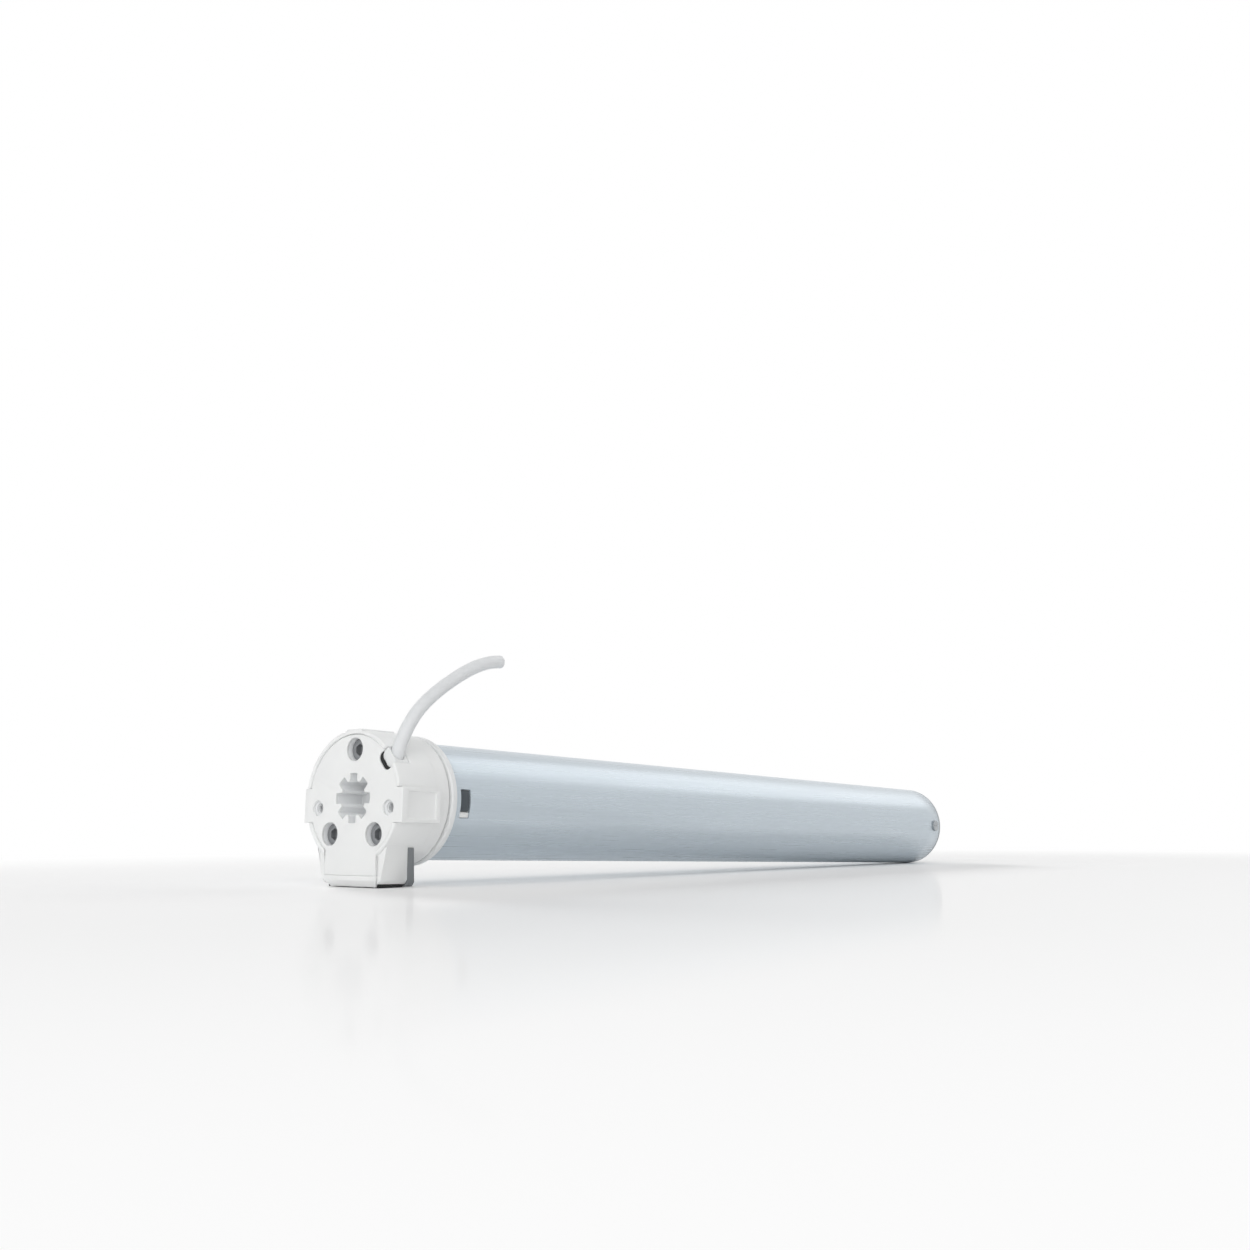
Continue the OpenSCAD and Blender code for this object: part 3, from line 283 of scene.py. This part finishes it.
FINISHES = {
    # Glass-filled polyamide, near white and satin.
    "white_head": moulded("moulded_white_polyamide", "#f5f6f5", "#eff0f0", 0.42),
    # The cable's plug, the crown ring and the capacitor's can, from smoother moulds.
    "white_smooth": moulded("moulded_white_acetal", "#f0f1f1", "#e8eaea", 0.34, 0.8),
    # Mid grey plate behind the foot, and the terminal block. The plate's grey is partly painted
    # shade: it gives the dark band along the foot's back edge, where shade falls.
    "grey_plate_and_shade": moulded("grey_polyamide_and_painted_shade", "#84888b", "#767a7d", 0.5),
    # Strips under the foot and seal beside the plug: dull and dark, as painted shade in the gaps
    # under the foot and beside the plug.
    "shade_black_rubber": moulded("painted_shade_dark_rubber", "#1f2021", "#161718", 0.68, 0.6, 8),
    # Latches in the tube's windows: dark, with a blue cast.
    "latch": moulded("moulded_slate_polyamide", "#474f55", "#3b4349", 0.42),
    # Trough and relay cases.
    "black_plastic": moulded("moulded_black_polyamide", "#2e3032", "#232527", 0.45),
    # Zinc core behind the cover, die-cast and dull: near white and not metallic, which is painted
    # light, so that its star socket, screw wells and bracket holes look lit.
    "pale_lit_zinc_core": cast("die_cast_zinc_painted_light", "#f0f1f2", "#e6e8e9", 0.0, 0.55),
    # End cap, gear plate and bearing shields: aluminium casting, blasted.
    "cast_aluminium": cast("blasted_cast_aluminium", "#b6babd", "#a2a6a9", 0.8, 0.5, 0.5),
    # Socket screws: phosphated steel, mid grey and a little oily.
    "socket_screw": cast("phosphated_steel", "#9a9c9f", "#85878a", 0.5, 0.4, 0.4),
    # Screws of the tube and of the foot's plate: zinc plated, paler.
    "plated_screw": cast("zinc_plated_steel", "#b4b8bb", "#a0a4a8", 0.7, 0.34, 0.4),
    # Magnets and the brake's pot: blackened steel.
    "black_steel": cast("blackened_steel", "#4a4b4d", "#35363a", 0.85, 0.4, 0.4),
    # Shafts, bearings and pins: turned steel, with tool lines round them.
    "turned_steel": lined("turned_steel", "#c6c9cc", "#aeb2b6", 0.3, 0.35, (1, 0.02, 0.02)),
    # Gears, carriers and the brake's armature: hobbed steel, darker and oily.
    "gear_steel": lined("hobbed_steel", "#a4a8ad", "#8a8e94", 0.34, 0.4, (0.03, 1, 1)),
    # Spring clip: tempered strip, bluish black.
    "spring_steel": lined("tempered_spring_steel", "#565a63", "#41454d", 0.36, 0.4,
                          (1, 0.1, 0.1)),
    # Bushes: sintered bronze with open pores.
    "bronze": cast("sintered_bronze", "#b08d57", "#8f6f40", 0.9, 0.45, 0.3),
    # Stator, rotor and transformer: stamped sheets, drawn 2 mm apart so that they show.
    "laminations": banded("stamped_lamination_stack", "#8b8f94", "#63666b", 2, "X", 0.42, 0.8),
    # Windings: lacquered copper wire 0.8 mm thick.
    "winding": banded("lacquered_copper_wire", "#b5713d", "#7d4722", 0.8, "Z", 0.32, 0.7),
    # Brake lining: pressed friction material, coarse and dull.
    "friction_lining": cast("pressed_friction_lining", "#5a5550", "#3d3936", 0.1, 0.75, 0.6),
    "tube": zinc_coated_tube(),
    "sheath": extruded_sheath(),
    "board": lacquered_board(),
    # Core insulation at the cable's cut end.
    "core_brown": moulded("extruded_brown_core", "#6d4630", "#5b3824", 0.4, 0.3, 3),
    "core_blue": moulded("extruded_blue_core", "#3f78a8", "#336695", 0.4, 0.3, 3),
    "core_black": moulded("extruded_black_core", "#2c2c2e", "#202022", 0.4, 0.3, 3),
    "core_green": moulded("extruded_green_core", "#7fa04b", "#6c8f3f", 0.4, 0.3, 3),
    # Copper strands of the cores.
    "copper": lined("stranded_copper", "#c98a5b", "#a8683c", 0.35, 0.2, (1, 1, 1)),
}

# Finish of every solid that stays as it is.
KEPT = {
    "electronics_carrier": "black_plastic", "control_board": "board", "relays": "black_plastic",
    "transformer": "laminations", "radio_module": "board", "terminal_block": "grey_plate_and_shade",
    "capacitor": "white_smooth", "front_shield": "cast_aluminium", "encoder_board": "board",
    "encoder_magnet": "black_steel", "bearing_outers": "turned_steel",
    "bearing_inners": "turned_steel", "stator_core": "laminations", "stator_windings": "winding",
    "rotor_core": "laminations", "rotor_shaft": "turned_steel", "rear_shield": "cast_aluminium",
    "brake_disc": "friction_lining", "brake_armature": "gear_steel",
    "brake_magnet": "black_steel", "gear_plate": "cast_aluminium", "ring_gear": "gear_steel",
    "output_carrier": "gear_steel", "output_bushes": "bronze",
    **{f"sun_{k}": "gear_steel" for k in (1, 2, 3)},
    **{f"pins_{k}": "turned_steel" for k in (1, 2, 3)},
    **{f"carrier_{k}": "gear_steel" for k in (1, 2)},
    **{f"planet_{k}{m}": "gear_steel" for k in (1, 2, 3) for m in "abc"},
}
for name, finish in KEPT.items():
    solid = nodes[name]
    solid.data.materials.clear()
    solid.data.materials.append(FINISHES[finish])


# A piece of the object: its finish, its slot, which is not used, the solids that it stands for and
# its body.
def fit(piece, finish, slot, *solids, body="motor"):
    piece.data.materials.clear()
    piece.data.materials.append(FINISHES[finish])
    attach(piece, body)
    if solids:
        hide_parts(*solids)
    return piece


# An edge that turns by more than this is drawn sharp, in degrees.
SHARP_TURN = 38


# A mesh object with its modifiers made plain.
def settled(piece):
    bpy.context.view_layer.update()
    now = piece.evaluated_get(bpy.context.evaluated_depsgraph_get())
    plain = bpy.data.meshes.new_from_object(now)
    piece.modifiers.clear()
    piece.data = plain
    plain.shade_smooth()
    plain.set_sharp_from_angle(angle=math.radians(SHARP_TURN))
    return piece


# Rounds the edges of a piece that turn by more than an angle to this radius.
def softened(piece, radius, steps, from_angle=35):
    soft = piece.modifiers.new("soft_edges", "BEVEL")
    soft.width = radius * MM
    soft.segments = steps
    soft.limit_method = "ANGLE"
    soft.angle_limit = math.radians(from_angle)
    soft.use_clamp_overlap = False
    soft.miter_outer = "MITER_ARC"
    soft.loop_slide = False
    return settled(piece)


# Changes a mesh by one action on its editable form.
def reshaped(shape, action):
    bm = bmesh.new()
    bm.from_mesh(shape)
    action(bm)
    bm.to_mesh(shape)
    bm.free()


# Points closer than this are one. Triangles that differ by less than these angles are joined.
SAME_POINT = 0.002
SAME_PLANE, SAME_SHAPE = math.radians(0.8), math.radians(60)


def joined(bm):
    bmesh.ops.remove_doubles(bm, verts=bm.verts, dist=SAME_POINT * MM)
    bmesh.ops.join_triangles(bm, faces=bm.faces, angle_face_threshold=SAME_PLANE,
                             angle_shape_threshold=SAME_SHAPE)


# A solid's own shape with its sharp edges rounded.
def rounded_copy(solid, name, radius, steps):
    shape = nodes[solid].data.copy()
    shape.name = name
    reshaped(shape, joined)
    piece = bpy.data.objects.new(name, shape)
    scene.collection.objects.link(piece)
    return softened(piece, radius, steps)


# A plain mesh object from points and faces.
def built(name, points, faces):
    shape = bpy.data.meshes.new(name)
    shape.from_pydata([Vector(p) * MM for p in points], [], faces)
    piece = bpy.data.objects.new(name, shape)
    scene.collection.objects.link(piece)
    return piece


# Faces between one ring of n points and the next one.
def ring_faces(n, row=0):
    return [(row * n + k, row * n + (k + 1) % n, (row + 1) * n + (k + 1) % n, (row + 1) * n + k)
            for k in range(n)]


def faces_outwards(bm):
    bmesh.ops.recalc_face_normals(bm, faces=bm.faces)


# Steel tube, rolled from a sheet of narrow strips so that its round shows no flats. The two latch
# windows are left out of the sheet, and the wall is folded inwards.
TUBE_R, TUBE_WALL = 28.5, 1.2
TUBE_FROM, TUBE_TO = 38.4, 578.2
TUBE_RINGS = (60, 120, 200, 300, 400, 500, 560)
# Window of the near side: from, to, height above and below the axis. The far side's is half a turn
# away.
WINDOW = (43.4, 50.0, 5.5, 8.3)
# Strips of the sheet in degrees, and how close to a window's edge a strip may end.
SHEET_TURN, EDGE_CLEAR = 3, 0.8


# Turns the tube's sheet so that it faces away from the axis.
def faces_off_axis(bm):
    faces_outwards(bm)
    first = bm.faces[:][0]
    if first.normal.dot(Vector((0, *first.calc_center_median().yz))) < 0:
        bmesh.ops.reverse_faces(bm, faces=bm.faces)


def steel_tube():
    above, below = [math.degrees(math.asin(height / TUBE_R)) for height in WINDOW[2:]]
    edges = [below, 180 - above, 180 + below, 360 - above]
    strips = [turn for turn in range(0, 360, SHEET_TURN)
              if min(abs(turn - edge) for edge in edges) > EDGE_CLEAR]
    turns = sorted(strips + edges)
    stations = [TUBE_FROM, *WINDOW[:2], *TUBE_RINGS, TUBE_TO]
    window_row = stations.index(WINDOW[0])
    points = [(x, TUBE_R * math.cos(math.radians(t)), TUBE_R * math.sin(math.radians(t)))
              for x in stations for t in turns]
    n = len(turns)
    faces = []
    for row in range(len(stations) - 1):
        for k, face in enumerate(ring_faces(n, row)):
            middle = (turns[k] + (turns[(k + 1) % n] or 360)) / 2 % 180
            if row != window_row or below < middle < 180 - above:
                faces.append(face)
    piece = built("steel_tube", points, faces)
    reshaped(piece.data, faces_off_axis)
    wall = piece.modifiers.new("wall", "SOLIDIFY")
    wall.thickness = TUBE_WALL * MM
    wall.offset = -1
    wall.use_even_offset = True
    return softened(piece, radius=0.2, steps=2, from_angle=50)


# A bar of this outline that runs along one step.
def extruded(name, outline, step):
    n = len(outline)
    points = [Vector(p) for p in outline] + [Vector(p) + Vector(step) for p in outline]
    piece = built(name, points, ring_faces(n) + [tuple(range(n)), tuple(range(n, 2 * n))])
    reshaped(piece.data, faces_outwards)
    return piece


# Crescent with a dark rubber finish, in the gap between the notch's rounded end and the plug:
# painted shade, a dark piece where that gap is in shade. The notch lies at this turn in degrees. An
# arc is its middle's height and its radius, and runs from the side of the notch to its deepest
# point.
NOTCH_TURN = 141.3
NOTCH_ARC, PLUG_ARC = (27.2, 2.92), (28.9, 2.93)
ARC_SIDE = 1.75
ARC_TURNS = (104, 116, 128, 140, 152, 166, 180)
SEAL_FROM, SEAL_TO = 0.55, 9


def plug_gap_shade_piece():
    out = Vector((0, math.cos(math.radians(NOTCH_TURN)), math.sin(math.radians(NOTCH_TURN))))
    side = Vector((0, -out.z, out.y))
    turns = [math.radians(a) for a in ARC_TURNS]
    half = [[(middle + r * math.cos(a), ARC_SIDE + r * math.sin(a)) for a in turns]
            for middle, r in (NOTCH_ARC, PLUG_ARC)]
    inner, outer = [arc + [(u, -v) for u, v in reversed(arc)] for arc in half]
    outline = [out * u + side * v + Vector((SEAL_FROM, 0, 0)) for u, v in inner + outer[::-1]]
    bar = extruded("plug_gap_shade_piece", outline, (SEAL_TO - SEAL_FROM, 0, 0))
    return softened(bar, radius=0.12, steps=2, from_angle=60)


# Strips under the foot, one along each side of the white pad: partly rubber pads, and black as
# painted shade for the dark gap under the foot's sides. Their outer back corner is cut twice: this
# far along the sides, and this far off both of them in between.
STRIP_FROM, STRIP_TO = 3.04, 18
STRIP_INNER, STRIP_OUTER = 13.04, 17.3
STRIP_TOP, STRIP_LOW = -39.29, -40.78
CORNER_FAR, CORNER_NEAR = 1.4, 0.4


def foot_shade_strip(name, side):
    outline = [
        (STRIP_FROM, STRIP_INNER), (STRIP_FROM, STRIP_OUTER),
        (STRIP_TO - CORNER_FAR, STRIP_OUTER), (STRIP_TO - CORNER_NEAR, STRIP_OUTER - CORNER_NEAR),
        (STRIP_TO, STRIP_OUTER - CORNER_FAR), (STRIP_TO, STRIP_INNER),
    ]
    bar = extruded(name, [(x, side * y, STRIP_TOP) for x, y in outline],
                   (0, 0, STRIP_LOW - STRIP_TOP))
    return softened(bar, radius=0.2, steps=2, from_angle=40)


# Repeats a small shape at the points of a piece: a tree with named sizes, realized and given its
# finish.
def repeat_tree(name, sizes, draw):
    tree = bpy.data.node_groups.new(name, "GeometryNodeTree")
    tree.interface.new_socket("Places", in_out="INPUT", socket_type="NodeSocketGeometry")
    for size in sizes:
        tree.interface.new_socket(size, in_out="INPUT", socket_type="NodeSocketFloat")
    tree.interface.new_socket("Finish", in_out="INPUT", socket_type="NodeSocketMaterial")
    tree.interface.new_socket("Shape", in_out="OUTPUT", socket_type="NodeSocketGeometry")
    given = put(tree, "NodeGroupInput").outputs
    shape = draw(tree, given)
    here = put(tree, "GeometryNodeInstanceOnPoints",
               links={"Points": given["Places"], "Instance": shape})
    real = put(tree, "GeometryNodeRealizeInstances", links={0: here.outputs[0]})
    finished = put(tree, "GeometryNodeSetMaterial",
                   links={"Geometry": real.outputs[0], "Material": given["Finish"]})
    put(tree, "NodeGroupOutput", links={0: finished.outputs[0]})
    return tree


def repeated(name, tree, places, finish, sizes):
    piece = built(name, places, [])
    grown = piece.modifiers.new(name, "NODES")
    grown.node_group = tree
    for socket in tree.interface.items_tree:
        if socket.item_type == "SOCKET" and socket.in_out == "INPUT":
            if socket.name in sizes:
                grown[socket.identifier] = float(sizes[socket.name])
            elif socket.name == "Finish":
                grown[socket.identifier] = FINISHES[finish]
    return settled(piece)


# Lays a shape that stands along Z down along X.
def laid(tree, shape):
    return put(tree, "GeometryNodeTransform", {"Rotation": (0, math.pi / 2, 0)},
               {"Geometry": shape}).outputs[0]


# A screw thread's turns, as one ridge that climbs along X from each place.
def thread_ridge(tree, given):
    climb = put(tree, "GeometryNodeCurveSpiral", {"Resolution": 20},
                {"Rotations": given["Turns"], "Start Radius": given["Radius"],
                 "End Radius": given["Radius"], "Height": given["Depth"]})
    ridge = put(tree, "GeometryNodeCurvePrimitiveCircle", {"Resolution": 4},
                {"Radius": given["Ridge"]})
    body = put(tree, "GeometryNodeCurveToMesh", {"Fill Caps": True},
               {"Curve": climb.outputs[0], "Profile Curve": ridge.outputs[0]})
    return laid(tree, body.outputs[0])


# The knurl round a socket screw's head: thin ribs along X on a circle.
def head_knurl(tree, given):
    ring = put(tree, "GeometryNodeMeshCircle", {"Vertices": 40}, {"Radius": given["Radius"]})
    rib = put(tree, "GeometryNodeMeshCylinder", {"Vertices": 6},
              {"Radius": given["Ridge"], "Depth": given["Depth"]})
    ribs = put(tree, "GeometryNodeInstanceOnPoints",
               links={"Points": ring.outputs[0], "Instance": rib.outputs[0]})
    return laid(tree, ribs.outputs[0])


KNURL_SIZES = ("Radius", "Depth", "Ridge")
thread_tree = repeat_tree("thread_turns", (*KNURL_SIZES, "Turns"), thread_ridge)
knurl_tree = repeat_tree("screw_head_knurl", KNURL_SIZES, head_knurl)

# Pieces that keep a solid's shape with rounded edges: the solid, the piece, the radius, the steps
# of the rounding, the finish, the slot and the body.
HEAD_PIECES = (
    ("head_cover", "front_cover", 0.3, 3, "white_head", "white_plastic", "motor"),
    ("head_body", "head_body_moulding", 0.3, 2, "white_head", "white_plastic", "motor"),
    ("foot_cap", "foot_cap_moulding", 0.25, 2, "white_head", "white_plastic", "motor"),
    # The foot's plate is grey partly as painted shade at the foot's back.
    ("foot_back_plate", "foot_plate", 0.3, 2, "grey_plate_and_shade", "grey_plastic", "motor"),
    ("cable_plug", "cable_plug_moulding", 0.25, 2, "white_smooth", "white_plastic", "motor"),
    # The zinc core's near-white colour is painted light in its sockets and holes.
    ("head_core", "pale_lit_zinc_core", 0.2, 2, "pale_lit_zinc_core", "die_cast", "motor"),
    ("head_screws", "socket_screws", 0.15, 2, "socket_screw", "dark_steel", "motor"),
    ("foot_screws", "foot_plate_screws", 0.12, 2, "plated_screw", "dark_steel", "motor"),
    ("crown_ring", "running_ring", 0.2, 2, "white_smooth", "white_plastic", "crown"),
)
TUBE_PIECES = (
    ("tube_latches", "window_latches", 0.2, 2, "latch", "black_plastic", "motor"),
    ("drive_end_cap", "cast_end_cap", 0.25, 2, "cast_aluminium", "die_cast", "motor"),
    ("cap_screws", "tube_screws", 0.12, 2, "plated_screw", "dark_steel", "motor"),
    ("output_shaft", "drive_shaft", 0.2, 2, "turned_steel", "steel", "output"),
    ("shaft_clip", "retaining_clip", 0.1, 2, "spring_steel", "dark_steel", "output"),
)


def fit_rounded(rows):
    for solid, name, radius, steps, finish, slot, body in rows:
        fit(rounded_copy(solid, name, radius, steps), finish, slot, solid, body=body)


fit_rounded(HEAD_PIECES)
# Painted shade: dark pieces in the plug's gap and under the foot's sides.
fit(plug_gap_shade_piece(), "shade_black_rubber", "black_plastic")
fit(foot_shade_strip("foot_shade_strip_left", -1), "shade_black_rubber", "black_plastic")
fit(foot_shade_strip("foot_shade_strip_right", 1), "shade_black_rubber", "black_plastic")
fit(steel_tube(), "tube", "tube_steel", "motor_tube")
fit_rounded(TUBE_PIECES)

# Threads of the two bracket holes and of the hole in the shaft's end, and the screws' knurl: where
# they start, and their sizes in metres.
BRACKET_HOLES = [(2.2, -24, -4.5), (2.2, 24, -4.5)]
BRACKET_THREAD = {"Radius": 2.5 * MM, "Depth": 10 * MM, "Ridge": 0.28 * MM, "Turns": 10}
SHAFT_HOLE = [(591.6, 0, 0)]
SHAFT_THREAD = {"Radius": 2.5 * MM, "Depth": 13.4 * MM, "Ridge": 0.28 * MM, "Turns": 13}
SCREW_HEADS = [(6.4, 0, 22.8), (6.4, 15, -16.7), (6.4, -15, -16.7)]
SCREW_KNURL = {"Radius": 4.95 * MM, "Depth": 4.6 * MM, "Ridge": 0.16 * MM}
fit(repeated("bracket_threads", thread_tree, BRACKET_HOLES, "pale_lit_zinc_core", BRACKET_THREAD),
    "pale_lit_zinc_core", "die_cast")
fit(repeated("shaft_end_thread", thread_tree, SHAFT_HOLE, "turned_steel", SHAFT_THREAD),
    "turned_steel", "steel", body="output")
fit(repeated("screw_knurl", knurl_tree, SCREW_HEADS, "socket_screw", SCREW_KNURL),
    "socket_screw", "dark_steel")

# Four cores at the cable's cut end, each an insulated ring with copper in it: their distance from
# the cable's middle, their depth in the sheath, the break of their edges, and the radius and height
# of each layer.
CORE_COLOURS = ("brown", "blue", "black", "green")
CORE_OFF, CORE_ROOT, CORE_BREAK, CORE_SIDES = 1.4, 0.6, 0.08, 20
INSULATION, STRANDS = (1.05, 0.15), (0.6, 0.22)


def core_ends():
    end, before = Vector(CABLE_LINE[-1]), Vector(CABLE_LINE[-2])
    out = (end - before).normalized()
    side = out.cross(Vector((0, 1, 0))).normalized()
    up = side.cross(out)

    def around(angle):
        return side * math.cos(angle) + up * math.sin(angle)

    def faces_forwards(bm):
        if bm.faces[:][-1].normal.dot(out) < 0:
            bmesh.ops.reverse_faces(bm, faces=bm.faces)

    n = CORE_SIDES
    faces = ring_faces(n, 0) + ring_faces(n, 1) + [tuple(range(2 * n, 3 * n))]
    made = []
    for k, colour in enumerate(CORE_COLOURS):
        middle = end + around(math.radians(45 + 90 * k)) * CORE_OFF
        for layer, (radius, height), finish in (
            ("insulation", INSULATION, f"core_{colour}"), ("strands", STRANDS, "copper"),
        ):
            rings = [(radius, -CORE_ROOT), (radius, height - CORE_BREAK),
                     (radius - CORE_BREAK, height)]
            points = [middle + out * h + around(math.tau * m / n) * r
                      for r, h in rings for m in range(n)]
            piece = built(f"core_{colour}_{layer}", points, faces)
            reshaped(piece.data, faces_forwards)
            made.append(fit(settled(piece), finish, "cable_sheath"))
    return made


cores = core_ends()
fit(cable, "sheath", "cable_sheath", "cable")

# Floor: the foot's heel and the far end of the tube stand on it. It is white and a little glossy,
# and fades into the white background away from the motor.
FOOT_HEEL, TUBE_END = Vector((18, 0, -40.85)), Vector((579, 0, -28.55))
FLOOR_REACH = 3000
# Half the motor's length in metres.
HALF_LENGTH = 0.29
# What changes with the distance from the motor: from and to, in metres, and the values there. It
# fades into plain white, is white in reflections, and gains gloss.
FADE, OPEN_FLOOR, POLISH = (0.2, 0.75, 0, 1), (0.042, 0.07, 0, 1), (0.06, 0.2, 0.09, 0.28)
WHITE = (1, 1, 1, 1)


def white_floor():
    along = (TUBE_END - FOOT_HEEL).normalized() * FLOOR_REACH
    across = Vector((0, FLOOR_REACH, 0))
    middle = (FOOT_HEEL + TUBE_END) / 2
    corners = [middle + along * a + across * b for a, b in ((-1, -1), (1, -1), (1, 1), (-1, 1))]
    piece = built("floor", corners, [(0, 1, 2, 3)])
    made, tree, place = started("white_glossy_floor")
    spot = put(tree, "ShaderNodeSeparateXYZ", links={0: place}).outputs
    off_middle = reckon(tree, "ABSOLUTE", reckon(tree, "SUBTRACT", spot["X"], HALF_LENGTH))
    past_end = reckon(tree, "SUBTRACT", off_middle, HALF_LENGTH, use_clamp=True)
    gap = put(tree, "ShaderNodeCombineXYZ", links={"X": past_end, "Y": spot["Y"]})
    away = put(tree, "ShaderNodeVectorMath", links={0: gap.outputs[0]}, operation="LENGTH")
    fade, open_floor, polish = [
        put(tree, "ShaderNodeMapRange",
            {"From Min": start, "From Max": end, "To Min": low, "To Max": high},
            {"Value": away.outputs["Value"]}, interpolation_type="SMOOTHSTEP").outputs[0]
        for start, end, low, high in (FADE, OPEN_FLOOR, POLISH)]
    ray = put(tree, "ShaderNodeLightPath").outputs
    gloss = reckon(tree, "MULTIPLY", polish, ray["Is Camera Ray"])
    blank = reckon(tree, "MAXIMUM", reckon(tree, "MULTIPLY", fade, ray["Is Camera Ray"]),
                   reckon(tree, "MULTIPLY", open_floor, ray["Is Glossy Ray"]))
    polished = put(tree, "ShaderNodeBsdfPrincipled",
                   {"Base Color": ink("#fefefe"), "Roughness": 1, "Specular IOR Level": 0,
                    "Coat Roughness": 0.08}, {"Coat Weight": gloss})
    white = put(tree, "ShaderNodeEmission", {"Color": WHITE, "Strength": 1})
    whole = put(tree, "ShaderNodeMixShader",
                links={0: blank, 1: polished.outputs[0], 2: white.outputs[0]})
    put(tree, "ShaderNodeOutputMaterial", links={"Surface": whole.outputs[0]})
    piece.data.materials.append(made)


# Soft studio light: an even white surround, and soft lights from behind, above, the far end and in
# front. A lamp is its name, where it shines from, its spread in degrees, its level, and whether it
# shows in reflections. It stands at this many times that direction, in metres.
SURROUND_LEVEL = 0.38
LAMPS = (
    ("back_soft_light", (0.35, 0.8, 0.38), 14, 1.45, False),
    ("top_soft_light", (0, -0.1, 1), 60, 0.3, False),
    ("end_soft_light", (0.8, -0.08, 0.6), 32, 0.2, True),
    ("front_soft_light", (-0.85, -0.5, 0.3), 70, 1.5, False),
)
STAND_TIMES = 1.2


def studio_light():
    world = bpy.data.worlds.new("white_studio")
    scene.world = world
    world.use_nodes = True
    tree = world.node_tree
    tree.nodes.clear()
    ray = put(tree, "ShaderNodeLightPath").outputs
    seen = reckon(tree, "MAXIMUM", ray["Is Camera Ray"], ray["Is Glossy Ray"])
    clear = reckon(tree, "MAXIMUM", seen, ray["Is Transmission Ray"])
    around = put(tree, "ShaderNodeBackground", {"Color": WHITE, "Strength": SURROUND_LEVEL})
    backdrop = put(tree, "ShaderNodeBackground", {"Color": WHITE, "Strength": 1})
    both = put(tree, "ShaderNodeMixShader",
               links={0: clear, 1: around.outputs[0], 2: backdrop.outputs[0]})
    put(tree, "ShaderNodeOutputWorld", links={"Surface": both.outputs[0]})
    for name, source, spread, level, mirrored in LAMPS:
        lamp = bpy.data.lights.new(name, "SUN")
        lamp.angle = math.radians(spread)
        lamp.energy = level
        stand = bpy.data.objects.new(name, lamp)
        stand.location = Vector(source) * STAND_TIMES
        stand.rotation_euler = Vector(source).to_track_quat("Z", "Y").to_euler()
        stand.visible_glossy = mirrored
        scene.collection.objects.link(stand)


white_floor()
studio_light()
